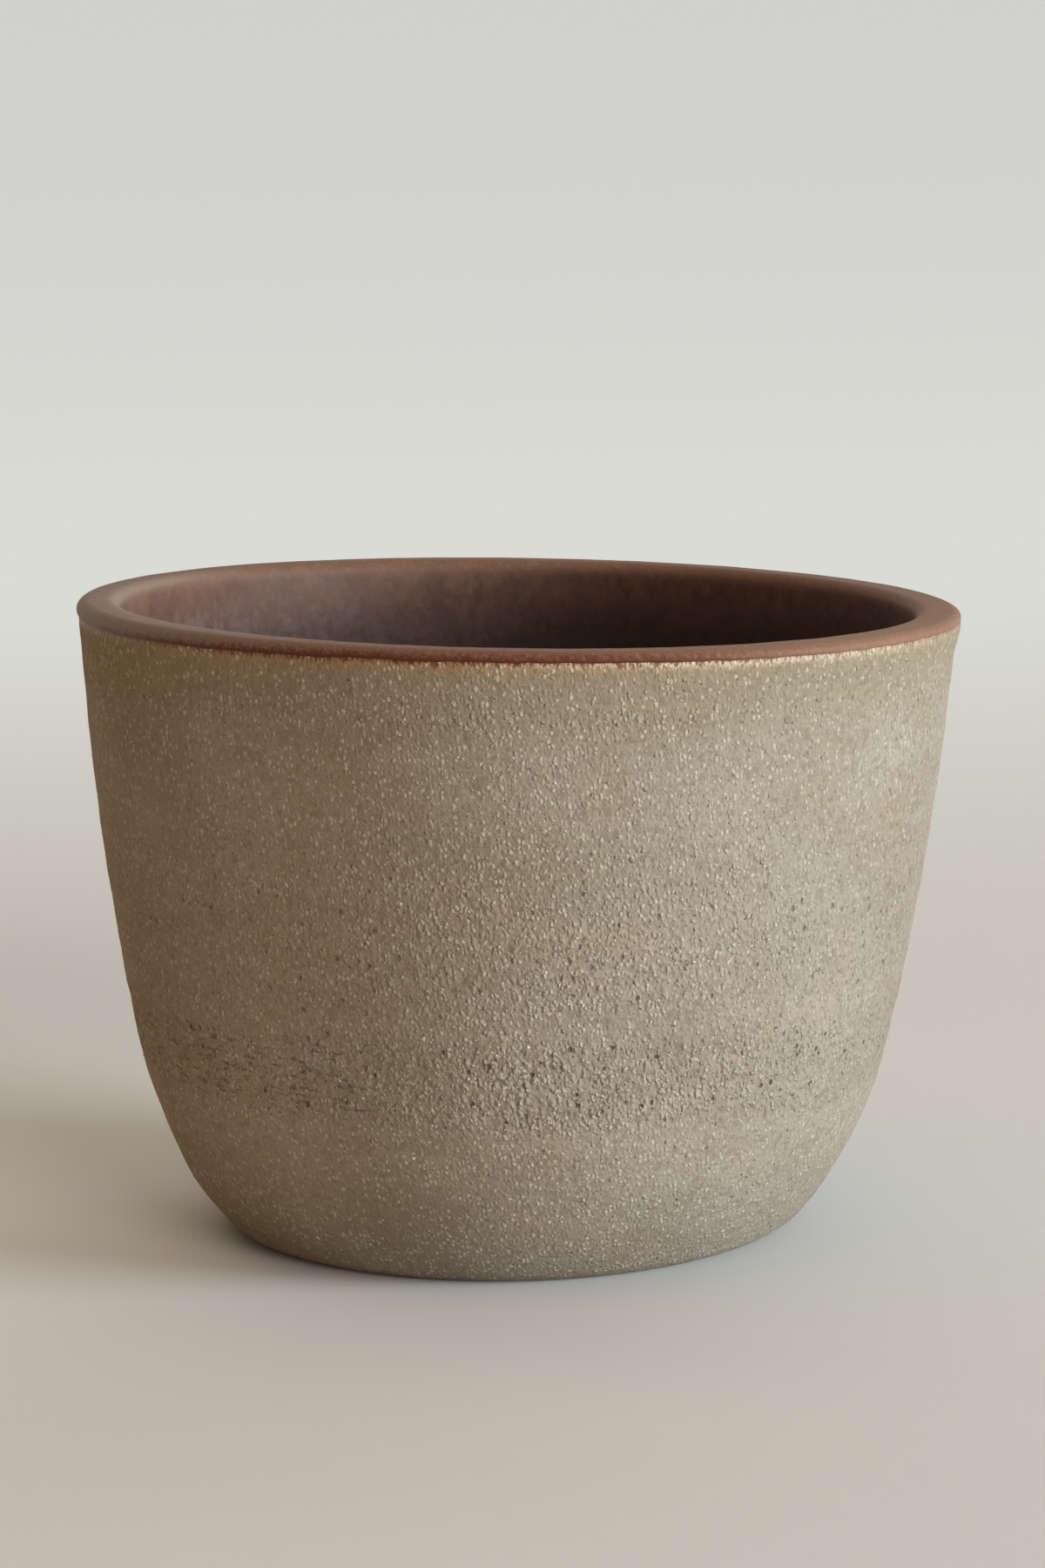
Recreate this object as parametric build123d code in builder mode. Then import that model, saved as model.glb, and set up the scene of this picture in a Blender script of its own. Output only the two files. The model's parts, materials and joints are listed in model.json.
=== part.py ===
from build123d import *
from math import asin, atan2, cos, degrees, radians, sin, sqrt, tan
import os

# A handle-less stoneware cup: one thrown clay body, a poured glaze inside and a thin glaze on the lip.
# The origin is the middle of the foot, +Z is up, and lengths are in millimetres, angles in degrees.

# Driving dimensions of the outside
HEIGHT = 64.8              # crest of the glazed lip above the foot, along the cup's own axis
RIM_RADIUS = 45.0          # widest point of the clay, at the lip
FOOT_RADIUS = 28.8         # corner of the belly and the foot, before the edge is wiped round
HEEL_RADIUS = 4.6          # wiped edge of the foot
BELLY_TOP = 20.0           # height where the belly's curve runs into the wall's
WALL_RADIUS = 316.0        # long curve of the upper wall
WALL_FLARE = 3.9           # outward slope of the wall just under the lip
LEAN = 1.85                # tilt of the thrown axis towards +X, as the fired cup stands

# Driving dimensions of the lip and the inside
LIP_OUTER_RADIUS = 1.0     # outer corner of the lip
LIP_FLAT = 2.0             # width of the lip's flat top between its corners
LIP_INNER_RADIUS = 0.9     # inner corner of the lip
FLOOR = 6.0                # thickness of the floor on the axis
WELL_RADIUS = 12.0         # curve between the floor and the belly

# Driving dimensions of the glazes and the trimming
LINER_COAT = 0.4           # thickness of the poured coat
LIP_COAT = 0.3             # thickness of the coat on the lip
LIP_COAT_DEPTH = 5.0       # where the lip's coat meets the liner, below the clay's crest
LIP_COAT_EDGE = 15.0       # where the lip's coat ends outside, as a bearing about the lip's outer corner
TRIM_STOCK = 1.0           # clay below the foot that trimming always takes off


def polar(center, radius, bearing):
    """The point at a radius and a bearing from a center, in the profile plane."""
    return center + Vector(cos(radians(bearing)), sin(radians(bearing))) * radius


def toward(start, end, distance):
    """The point at a distance from start on the line to end."""
    return start + (end - start).normalized() * distance


def bearing_of(center, point):
    """The direction of a point seen from a center."""
    return degrees(atan2(point.Y - center.Y, point.X - center.X))


def arc(center, start, end):
    """The short arc about a center from one point to another."""
    first = bearing_of(center, start)
    turn = (bearing_of(center, end) - first + 180) % 360 - 180
    CenterArc(center, (start - center).length, first, turn)


# The profile plane holds the leaning axis as its Y, and its X points out along the radius.
throwing_plane = Plane(
    origin=(0, 0, 0),
    x_dir=(cos(radians(LEAN)), 0, -sin(radians(LEAN))),
    z_dir=(0, -1, 0),
)
throwing_axis = Axis(throwing_plane.origin, throwing_plane.y_dir)

# Centers of the profile's arcs
crest = Vector(RIM_RADIUS - LIP_OUTER_RADIUS, HEIGHT - LIP_COAT)
shoulder_center = crest - Vector(0, LIP_OUTER_RADIUS)
inner_edge_center = crest - Vector(LIP_FLAT, LIP_INNER_RADIUS)
wall_center = polar(shoulder_center, LIP_OUTER_RADIUS - WALL_RADIUS, -WALL_FLARE)

# The belly's arc leaves the wall's arc without a break and passes through the corner of the foot.
belly_joint = polar(wall_center, WALL_RADIUS, degrees(asin((BELLY_TOP - wall_center.Y) / WALL_RADIUS)))
belly_chord = Vector(FOOT_RADIUS, 0) - belly_joint
belly_inward = (wall_center - belly_joint).normalized()
belly_radius = belly_chord.length**2 / (2 * belly_chord.dot(belly_inward))
belly_center = belly_joint + belly_inward * belly_radius

# The inside keeps the same centers, so the wall is even from the lip to the belly.
inner_wall_radius = (inner_edge_center - wall_center).length - LIP_INNER_RADIUS
wall_thickness = WALL_RADIUS - inner_wall_radius
inner_belly_radius = belly_radius - wall_thickness
well_height = FLOOR + WELL_RADIUS
well_reach = sqrt((inner_belly_radius - WELL_RADIUS)**2 - (well_height - belly_center.Y)**2)
well_center = Vector(belly_center.X + well_reach, well_height)
lip_coat_foot = degrees(asin((crest.Y - LIP_COAT_DEPTH - wall_center.Y) / inner_wall_radius))
trim_depth = FOOT_RADIUS * tan(radians(LEAN)) + TRIM_STOCK


def inside_points(coat):
    """The joints of the inner profile from the axis up, raised off the clay by a coat's thickness."""
    floor_center = Vector(0, FLOOR + coat)
    floor_edge = Vector(well_center.X, FLOOR + coat)
    well_end = toward(belly_center, well_center, inner_belly_radius - coat)
    belly_end = toward(wall_center, belly_center, inner_wall_radius - coat)
    return floor_center, floor_edge, well_end, belly_end


def lip_points(coat):
    """The joints of the lip's profile from its inside to its outside, raised by a coat's thickness."""
    inner_end = toward(wall_center, inner_edge_center, inner_wall_radius - coat)
    outer_top = crest + Vector(0, coat)
    inner_top = outer_top - Vector(LIP_FLAT, 0)
    coat_edge = polar(shoulder_center, LIP_OUTER_RADIUS + coat, LIP_COAT_EDGE)
    return inner_end, inner_top, outer_top, coat_edge


def coat_joint(coat):
    """The point on the inner wall where the lip's coat meets the liner, raised by a coat's thickness."""
    return polar(wall_center, inner_wall_radius - coat, lip_coat_foot)


# Clay body: thrown about the leaning axis, trimmed level, its foot edge wiped round
floor_center, floor_edge, well_end, belly_end = inside_points(0)
lip_inner_end, lip_inner_top, lip_outer_top, lip_coat_edge = lip_points(0)
lip_outer_end = toward(wall_center, shoulder_center, WALL_RADIUS)
stock_edge = polar(belly_center, belly_radius, -degrees(asin((belly_center.Y + trim_depth) / belly_radius)))
stock_center = Vector(0, -trim_depth)

with BuildPart() as clay_body:
    with BuildSketch(throwing_plane):
        with BuildLine():
            Line(floor_center, floor_edge)
            arc(well_center, floor_edge, well_end)
            arc(belly_center, well_end, belly_end)
            arc(wall_center, belly_end, lip_inner_end)
            arc(inner_edge_center, lip_inner_end, lip_inner_top)
            Line(lip_inner_top, lip_outer_top)
            arc(shoulder_center, lip_outer_top, lip_outer_end)
            arc(wall_center, lip_outer_end, belly_joint)
            arc(belly_center, belly_joint, stock_edge)
            Polyline(stock_edge, stock_center, floor_center)
        make_face()
    revolve(axis=throwing_axis)
    split(bisect_by=Plane.XY, keep=Keep.TOP)
    foot_face = clay_body.faces().sort_by(Axis.Z)[0]
    fillet(foot_face.edges(), HEEL_RADIUS)
clay_body.part.label = "clay_body"

# Liner glaze: the poured coat on the floor, the belly and the inner wall
coat_center, coat_floor_edge, coat_well_end, coat_belly_end = inside_points(LINER_COAT)

with BuildPart() as liner_glaze:
    with BuildSketch(throwing_plane):
        with BuildLine():
            Line(floor_center, floor_edge)
            arc(well_center, floor_edge, well_end)
            arc(belly_center, well_end, belly_end)
            arc(wall_center, belly_end, coat_joint(0))
            Line(coat_joint(0), coat_joint(LINER_COAT))
            arc(wall_center, coat_joint(LINER_COAT), coat_belly_end)
            arc(belly_center, coat_belly_end, coat_well_end)
            arc(well_center, coat_well_end, coat_floor_edge)
            Polyline(coat_floor_edge, coat_center, floor_center)
        make_face()
    revolve(axis=throwing_axis)
liner_glaze.part.label = "liner_glaze"

# Lip glaze: the thin coat over the crest, from the liner's edge to a line outside
coat_inner_end, coat_inner_top, coat_outer_top, coat_edge = lip_points(LIP_COAT)

with BuildPart() as lip_glaze:
    with BuildSketch(throwing_plane):
        with BuildLine():
            arc(wall_center, coat_joint(0), lip_inner_end)
            arc(inner_edge_center, lip_inner_end, lip_inner_top)
            Line(lip_inner_top, lip_outer_top)
            arc(shoulder_center, lip_outer_top, lip_coat_edge)
            Line(lip_coat_edge, coat_edge)
            arc(shoulder_center, coat_edge, coat_outer_top)
            Line(coat_outer_top, coat_inner_top)
            arc(inner_edge_center, coat_inner_top, coat_inner_end)
            arc(wall_center, coat_inner_end, coat_joint(LIP_COAT))
            Line(coat_joint(LIP_COAT), coat_joint(0))
        make_face()
    revolve(axis=throwing_axis)
lip_glaze.part.label = "lip_glaze"

os.makedirs("parts", exist_ok=True)
for piece in (clay_body, liner_glaze, lip_glaze):
    export_step(piece.part, f"parts/{piece.part.label}.step")

foot_span = clay_body.faces().sort_by(Axis.Z)[0].bounding_box().size.X
print(f"wall {wall_thickness:.2f} mm, belly radius {belly_radius:.2f} mm, foot {foot_span:.2f} mm across")
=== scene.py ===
import json
import math

import bmesh
import bpy
import numpy as np
from mathutils import Matrix, Vector, kdtree, noise

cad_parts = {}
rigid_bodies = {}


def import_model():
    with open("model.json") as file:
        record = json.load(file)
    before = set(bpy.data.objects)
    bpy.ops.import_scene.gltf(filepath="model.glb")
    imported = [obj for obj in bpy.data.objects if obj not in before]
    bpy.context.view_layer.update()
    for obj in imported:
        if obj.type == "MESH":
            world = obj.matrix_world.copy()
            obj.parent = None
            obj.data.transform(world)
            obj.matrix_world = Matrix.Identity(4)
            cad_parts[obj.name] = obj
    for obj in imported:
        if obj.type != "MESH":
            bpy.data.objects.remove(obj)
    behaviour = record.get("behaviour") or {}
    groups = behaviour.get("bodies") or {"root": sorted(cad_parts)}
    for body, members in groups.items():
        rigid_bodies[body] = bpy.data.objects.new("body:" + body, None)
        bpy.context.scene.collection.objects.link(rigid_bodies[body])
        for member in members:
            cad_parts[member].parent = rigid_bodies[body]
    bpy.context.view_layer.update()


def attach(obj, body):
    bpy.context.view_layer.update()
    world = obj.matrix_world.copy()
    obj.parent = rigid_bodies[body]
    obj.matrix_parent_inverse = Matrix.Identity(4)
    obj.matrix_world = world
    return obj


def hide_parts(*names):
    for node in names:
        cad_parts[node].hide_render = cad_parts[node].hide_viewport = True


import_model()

# The cup's own sizes, in metres and radians, as its solids have them
MM = 0.001
LEAN = math.radians(1.85)    # tilt of the thrown axis
HEIGHT = 64.8 * MM           # top of the lip's glaze above the foot
RIM_RADIUS = 45.0 * MM
FOOT_RADIUS = 28.8 * MM      # corner of the belly and the foot, before its edge is wiped round
HEEL_RADIUS = 4.6 * MM
BELLY_TOP = 20.0 * MM
WALL_RADIUS = 316.0 * MM
WALL_FLARE = math.radians(3.9)
LIP_OUTER_RADIUS = 1.0 * MM
LIP_FLAT = 2.0 * MM
LIP_INNER_RADIUS = 0.9 * MM
FLOOR = 6.0 * MM
WELL_RADIUS = 12.0 * MM
LINER_COAT = 0.4 * MM
LIP_COAT = 0.3 * MM
LIP_COAT_DEPTH = 5.0 * MM

# The leaning axis, and the way straight out from it to the right of the view
AXIS = Vector((math.sin(LEAN), 0, math.cos(LEAN)))
OUT = Vector((math.cos(LEAN), 0, -math.sin(LEAN)))

# Steps of the meshes
TURNS = 512              # around the clay
GLAZE_TURNS = 900        # around the lip's glaze, fine enough for its ragged edge
LINER_TURNS = 256
SEAM_GAP = 0.002 * MM    # points closer than this become one
SHARP_EDGE = math.radians(50)

# Sides of the cup where hands or fire left a mark, or where light or shade is painted, in degrees: the
# bearing round the cup, with the view at -90 and its right at 0, and the spread over which the mark fades
SIDES = {
    "scorch": (-105, 70),    # the lip's glaze burnt the clay below it
    "window_glints": (-58, 55),        # painted glints of the window on the clay below the lip
    "backdrop_sheen": (-165, 75),      # painted sheen of the pale backdrop on the lip, with a painted highlight on its inner corner
    "bright": (-30, 95),     # the lip's glaze fired to a bright terracotta
    "warm_shade": (180, 130),     # painted warm shade on the clay's shadowed side
    "tear": (-145, 60),      # the trimming tool tore the clay
    "flange": (0, 75),       # the lip was pressed outward
    "heel": (180, 80),       # the heel stayed fuller
    "window_sheen": (152, 52),      # painted sheen of the window on the inner glaze
}


# Plane geometry of the half section: x is the radius, y runs up the leaning axis
def polar(center, radius, bearing):
    """The point at a radius and a bearing from a center."""
    return Vector((center.x + radius * math.cos(bearing), center.y + radius * math.sin(bearing)))


def bearing_of(center, point):
    """The direction of a point seen from a center."""
    return math.atan2(point.y - center.y, point.x - center.x)


def arc(center, start, end, steps):
    """Points along the short arc from start to end about a center, without its first point."""
    first = bearing_of(center, start)
    turn = (bearing_of(center, end) - first + math.pi) % math.tau - math.pi
    radius = (start - center).length
    return [polar(center, radius, first + turn * k / steps) for k in range(1, steps + 1)]


def straight(start, end, steps):
    """Points along the straight line from start to end, without its first point."""
    return [start.lerp(end, k / steps) for k in range(1, steps + 1)]


def toward(start, end, distance):
    """The point at a distance from start on the line to end."""
    return start + (end - start).normalized() * distance


crest = Vector((RIM_RADIUS - LIP_OUTER_RADIUS, HEIGHT - LIP_COAT))
shoulder = crest - Vector((0, LIP_OUTER_RADIUS))
inner_crest = crest - Vector((LIP_FLAT, 0))
inner_edge = inner_crest - Vector((0, LIP_INNER_RADIUS))
wall_center = polar(shoulder, LIP_OUTER_RADIUS - WALL_RADIUS, -WALL_FLARE)
belly_joint = polar(wall_center, WALL_RADIUS, math.asin((BELLY_TOP - wall_center.y) / WALL_RADIUS))
belly_chord = Vector((FOOT_RADIUS, 0)) - belly_joint
belly_inward = (wall_center - belly_joint).normalized()
belly_radius = belly_chord.length_squared / (2 * belly_chord.dot(belly_inward))
belly_center = belly_joint + belly_inward * belly_radius
inner_wall_radius = (inner_edge - wall_center).length - LIP_INNER_RADIUS
inner_belly_radius = belly_radius - (WALL_RADIUS - inner_wall_radius)
well_reach = math.sqrt((inner_belly_radius - WELL_RADIUS)**2 - (FLOOR + WELL_RADIUS - belly_center.y)**2)
well_center = Vector((belly_center.x + well_reach, FLOOR + WELL_RADIUS))
liner_top = math.asin((crest.y - LIP_COAT_DEPTH - wall_center.y) / inner_wall_radius)


def belly_point(height):
    """The point of the belly's outer arc at a height above the foot."""
    return polar(belly_center, belly_radius, math.asin((height - belly_center.y) / belly_radius))


def inside_points(coat):
    """The joints of the inner profile from the wall to the axis, raised off the clay by a coat."""
    belly_end = toward(wall_center, belly_center, inner_wall_radius - coat)
    well_end = toward(belly_center, well_center, inner_belly_radius - coat)
    floor_edge = Vector((well_center.x, FLOOR + coat))
    floor_center = Vector((0, FLOOR + coat))
    return belly_end, well_end, floor_edge, floor_center


def stand(point):
    """A point of the half section, stood up in the leaning plane y = 0."""
    return OUT * point.x + AXIS * point.y


def to_cup(places):
    """World places as radius, height on the leaning axis, and angle round it."""
    across = places @ np.array(OUT)
    up = places @ np.array(AXIS)
    return np.hypot(across, places[:, 1]), up, np.arctan2(places[:, 1], across)


def outward(angles):
    """The directions straight out from the leaning axis at some angles round it."""
    return np.array(OUT) * np.cos(angles)[:, None] + np.array([0, 1, 0]) * np.sin(angles)[:, None]


# Modelling by hand
def only(piece):
    """Leaves one object selected and active."""
    for other in bpy.context.view_layer.objects:
        other.select_set(False)
    piece.select_set(True)
    bpy.context.view_layer.objects.active = piece


def trace(name, points):
    """A new object with a chain of edges through points of the half section, left in edit mode."""
    bpy.ops.object.select_all(action="DESELECT")
    bpy.ops.mesh.primitive_plane_add(size=MM, location=(0, 0, 0))
    piece = bpy.context.object
    piece.name = piece.data.name = name
    only(piece)
    bpy.ops.object.mode_set(mode="EDIT")
    bpy.ops.mesh.select_mode(type="VERT")
    bpy.ops.mesh.select_all(action="SELECT")
    bpy.ops.mesh.merge(type="CENTER")
    bpy.ops.transform.translate(value=stand(points[0]))
    for before, after in zip(points, points[1:]):
        bpy.ops.mesh.extrude_region_move(TRANSFORM_OT_translate={"value": stand(after) - stand(before)})
    return piece


def throw(steps):
    """Turns the open profile about the leaning axis and closes its seam and poles."""
    bpy.ops.mesh.select_all(action="SELECT")
    bpy.ops.mesh.spin(steps=steps, angle=math.tau, center=(0, 0, 0), axis=AXIS)
    bpy.ops.mesh.select_all(action="SELECT")
    bpy.ops.mesh.remove_doubles(threshold=SEAM_GAP)
    bpy.ops.mesh.normals_make_consistent(inside=False)


def pick(kind, wanted):
    """Selects the edges or the faces, in edit mode, that a test wants."""
    mesh = bpy.context.object.data
    work = bmesh.from_edit_mesh(mesh)
    bpy.ops.mesh.select_all(action="DESELECT")
    bpy.ops.mesh.select_mode(type=kind)
    for item in work.edges if kind == "EDGE" else work.faces:
        item.select_set(wanted(item))
    bmesh.update_edit_mesh(mesh)


def measures(items, name, width=3):
    """One measure of all vertices or faces of a mesh, as rows."""
    flat = np.empty(len(items) * width)
    items.foreach_get(name, flat)
    return flat.reshape(-1, width)


def places_of(piece):
    """All vertex places of a mesh, as rows."""
    return measures(piece.data.vertices, "co")


def put_places(piece, places):
    """Writes vertex places back to a mesh."""
    piece.data.vertices.foreach_set("co", places.ravel())
    piece.data.update()


def smooth(piece, sharp=None):
    """Shades a piece smoothly, but across edges sharper than an angle, if one is given."""
    only(piece)
    if sharp is None:
        bpy.ops.object.shade_smooth()
    else:
        bpy.ops.object.shade_smooth_by_angle(angle=sharp)


def lay_out(piece, flat):
    """Stores a flat layout named OFBake, two numbers for each face corner."""
    layer = piece.data.uv_layers.new(name="OFBake")
    layer.data.foreach_set("uv", np.asarray(flat, dtype=np.float32).ravel())


# Where on the cup a place lies
NOISE_SHIFT_ACROSS = 7.3    # how far each seed moves the noise, in its own units
NOISE_SHIFT_UP = 3.1


def step(low, high, values):
    """A smooth step from 0 at low to 1 at high."""
    share = np.clip((values - low) / (high - low), 0, 1)
    return share * share * (3 - 2 * share)


def waver(angles, heights, pitch, seed):
    """Smooth noise around the cup, about -1 to 1, with features of one pitch in metres."""
    reach = RIM_RADIUS / pitch
    across, up = seed * NOISE_SHIFT_ACROSS, seed * NOISE_SHIFT_UP
    return np.array([
        noise.noise(Vector((math.cos(a) * reach, math.sin(a) * reach + across, h / pitch + up)))
        for a, h in zip(angles, heights)
    ])


def side_share(side, angles):
    """1 at the bearing of one of the cup's sides, fading to 0 a spread away."""
    at, spread = (math.radians(value) for value in SIDES[side])
    away = np.abs((angles - at + math.pi) % math.tau - math.pi)
    return 1 - step(0, spread, away)


def note(piece, name, values):
    """Stores one number for each vertex, for the finish to read."""
    layer = piece.data.attributes.new(name, "FLOAT", "POINT")
    layer.data.foreach_set("value", np.asarray(values, dtype=np.float32))


def note_sides(piece, sides, angles, copies=1):
    """Stores how near each vertex is to some sides, where so many vertices share an angle."""
    for side in sides:
        note(piece, side, np.repeat(side_share(side, angles), copies))


# Marks on the clay: pairs are the heights or radii between which a mark comes or goes
BAND_START = (16.5 * MM, 19.5 * MM)    # the band that the trimming tool tore
BAND_END = (24 * MM, 29 * MM)
BAND_DRIFT = 1.6 * MM
BAND_DRIFT_PITCH = 22 * MM
MIDDLE_START = (26 * MM, 31 * MM)      # the half rough middle of the wall
MIDDLE_END = (38 * MM, 52 * MM)
RING_HEIGHT = 58.2 * MM                # a rough ring below the lip
RING_WIDTH = 0.8 * MM
FOOT_SHADE_END = (1 * MM, 15 * MM)            # the painted shade at the foot
LIP_PUSH = 0.42 * MM
LIP_PUSH_START = (HEIGHT - 4.5 * MM, HEIGHT - 1.5 * MM)
HEEL_PUSH = 0.6 * MM
HEEL_PUSH_START = (18 * MM, 27 * MM)
HEEL_PUSH_END = (3.5 * MM, 13 * MM)
SHOWN_START = (1.0 * MM, 3.0 * MM)     # the bare clay that shows, from the foot to the lip's glaze
SHOWN_END = (HEIGHT - 3.6 * MM, HEIGHT - 1.6 * MM)
DIVIDE_HEIGHTS = (0, 8 * MM, BELLY_TOP, HEIGHT)
DIVIDE_RADII = (24 * MM, 30 * MM, 37 * MM, 42.6 * MM)

# The edge of the lip's glaze
GLAZE_EDGE = 0.80 * MM              # how far it comes down outside, everywhere
GLAZE_SAG = 0.95 * MM               # how much lower it sags on one side
GLAZE_SAG_AT = math.radians(190)
GLAZE_GLINT_SIDE_RUN = 0.2 * MM            # how much lower it ran on the side where window glints are painted
GLAZE_SLOW = (0.10 * MM, 9 * MM)    # depth and pitch of its long waves, then of its short ones
GLAZE_QUICK = (0.12 * MM, 1.4 * MM)
GLAZE_RUN = 5.0 * MM                # how far it ran down inside, on one side
GLAZE_RUN_AT = math.radians(165)
CREST_DROP = 0.35 * MM              # the lip's inner corner, below the lip's top


def rough_share(heights, angles):
    """How rough the turned surface is at a height: 1 in the torn band, little where it was smoothed."""
    at = heights + BAND_DRIFT * waver(angles, heights * 0, BAND_DRIFT_PITCH, seed=1)
    band = step(*BAND_START, at) * (1 - step(*BAND_END, at))
    middle = step(*MIDDLE_START, at) * (1 - step(*MIDDLE_END, at))
    ring = np.exp(-((at - RING_HEIGHT) / RING_WIDTH)**2)
    return np.clip(0.15 + 0.85 * band + 0.40 * middle + 0.35 * ring, 0, 1)


def foot_shade_share(heights):
    """1 at the foot, where shade is painted, fading to 0 up the belly."""
    return 1 - step(*FOOT_SHADE_END, heights)


def glaze_line(angles):
    """How far below the lip's top its glaze ends outside: lower on one side, ragged all round."""
    sag = GLAZE_SAG * np.maximum(0, np.cos(angles - GLAZE_SAG_AT))**2
    run = GLAZE_GLINT_SIDE_RUN * side_share("window_glints", angles)
    slow = GLAZE_SLOW[0] * waver(angles, angles * 0, GLAZE_SLOW[1], seed=2)
    quick = GLAZE_QUICK[0] * waver(angles, angles * 0, GLAZE_QUICK[1], seed=3)
    return GLAZE_EDGE + sag + run + slow + quick


def below_glaze(heights, angles):
    """Millimetres below the outer edge of the lip's glaze."""
    return (HEIGHT - glaze_line(angles) - heights) / MM


def inside_depth(heights, angles):
    """Millimetres below the lip's top, less what the lip's glaze ran down on one side."""
    return (HEIGHT - heights - GLAZE_RUN * np.maximum(0, np.cos(angles - GLAZE_RUN_AT))) / MM


def crest_gap(radii, heights):
    """Millimetres from the lip's inner corner, where the glaze breaks thin and, on one side, a highlight is
    painted.
    """
    over = np.maximum(radii - inner_crest.x, 0)
    under = np.maximum(HEIGHT - CREST_DROP - heights, 0)
    return np.hypot(over, under) / MM


def handling(radii, heights, angles):
    """How hands pushed the clay level outward: the lip on one side, the heel on the other."""
    lip = LIP_PUSH * side_share("flange", angles)
    lip = lip * step(inner_crest.x, crest.x, radii) * step(*LIP_PUSH_START, heights)
    heel = HEEL_PUSH * side_share("heel", angles)
    heel = heel * step(*HEEL_PUSH_START, radii) * (1 - step(*HEEL_PUSH_END, heights))
    push = outward(angles) * (lip + heel)[:, None]
    push[:, 2] = 0
    return push


def outer_side(radii, heights):
    """Which places lie on the outer side of the clay, and not on its inner side."""
    return radii > np.interp(heights, DIVIDE_HEIGHTS, DIVIDE_RADII)


def outside_share(radii, heights):
    """1 on the bare clay that shows, 0 under the glazes and under the foot."""
    shown = (1 - step(*SHOWN_END, heights)) * step(*SHOWN_START, heights)
    return outer_side(radii, heights) * shown


# Clay body, with rows along its half section that lie close together where bare clay shows
HEEL_TOP = 3.4 * MM       # height where the close rows start
BELLY_ROWS = 38
WALL_ROWS = 94
LIP_OUTER_ROWS = 8
LIP_INNER_ROWS = 5
INNER_WALL_ROWS = 8
INNER_BELLY_ROWS = 4
WELL_ROWS = 6
FLOOR_ROWS = 2
TRIM_DEPTH = 2.0 * MM     # clay below the foot that trimming takes off
CUT_GAP = 0.001 * MM      # edges this near to the level cut belong to it
HEEL_STEPS = 9
FACING_DOWN = -0.999
FOOT_LEVEL = 0.01 * MM    # faces lower than this belong to the foot
FOOT_CORNERS = 8          # the foot's one face has more corners than this
FOOT_RINGS = 12
FOOT_RING_WIDTH = 2.1 * MM


def clay_profile():
    """The half section from under the foot, up the outside, over the lip and down to the floor."""
    heel_top = belly_point(HEEL_TOP)
    lip_outer_end = toward(wall_center, shoulder, WALL_RADIUS)
    lip_inner_end = toward(wall_center, inner_edge, inner_wall_radius)
    belly_end, well_end, floor_edge, floor_center = inside_points(0)
    points = [Vector((0, -TRIM_DEPTH)), belly_point(-TRIM_DEPTH), heel_top]
    points += arc(belly_center, heel_top, belly_joint, BELLY_ROWS)
    points += arc(wall_center, belly_joint, lip_outer_end, WALL_ROWS)
    points += arc(shoulder, lip_outer_end, crest, LIP_OUTER_ROWS)
    points += [inner_crest]
    points += arc(inner_edge, inner_crest, lip_inner_end, LIP_INNER_ROWS)
    points += arc(wall_center, lip_inner_end, belly_end, INNER_WALL_ROWS)
    points += arc(belly_center, belly_end, well_end, INNER_BELLY_ROWS)
    points += arc(well_center, well_end, floor_edge, WELL_ROWS)
    points += straight(floor_edge, floor_center, FLOOR_ROWS)
    return points


def is_foot(face):
    """Whether a face is the one that the level cut left."""
    level = face.normal.z < FACING_DOWN and face.calc_center_median().z < FOOT_LEVEL
    return level and len(face.verts) > FOOT_CORNERS


def trim_foot():
    """Cuts the foot level, wipes its edge round and divides the foot into rings of faces."""
    bpy.ops.mesh.select_all(action="SELECT")
    bpy.ops.mesh.bisect(plane_co=(0, 0, 0), plane_no=(0, 0, 1), use_fill=True, clear_inner=True)
    pick("EDGE", lambda edge: all(abs(v.co.z) < CUT_GAP for v in edge.verts))
    corner = math.pi / 2 - math.asin(belly_center.y / belly_radius)
    bpy.ops.mesh.bevel(
        offset=HEEL_RADIUS * math.tan(corner / 2), offset_type="OFFSET", segments=HEEL_STEPS,
        affect="EDGES", clamp_overlap=False,
    )
    pick("FACE", is_foot)
    for _ in range(FOOT_RINGS):
        bpy.ops.mesh.inset(thickness=FOOT_RING_WIDTH, depth=0)
    bpy.ops.mesh.poke()
    bpy.ops.mesh.normals_make_consistent(inside=False)


def dent(places, directions, centers, widths, depths):
    """Presses small pits into the surface and returns how deep each vertex lies in one, from 0 to 1."""
    tree = kdtree.KDTree(len(places))
    for k, place in enumerate(places):
        tree.insert(place, k)
    tree.balance()
    sunk = np.zeros(len(places))
    for center, width, depth in zip(centers, widths, depths):
        for _, k, gap in tree.find_range(center, width):
            share = (1 - (gap / width)**2)**2
            places[k] -= directions[k] * depth * share
            sunk[k] = max(sunk[k], share)
    return sunk


# Rows of the clay's flat layout, as left, low, width and height: the front half, then the back half
OUTSIDE_ROWS = ((0.01, 0.01, 0.98, 0.36), (0.01, 0.375, 0.98, 0.36))
INSIDE_ROWS = ((0.28, 0.75, 0.70, 0.10), (0.28, 0.87, 0.70, 0.10))
FOOT_DISC = (0.13, 0.865)
FOOT_DISC_RADIUS = 0.115
POLE_RADIUS = 0.05 * MM    # corners this near to the axis have no angle of their own


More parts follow.
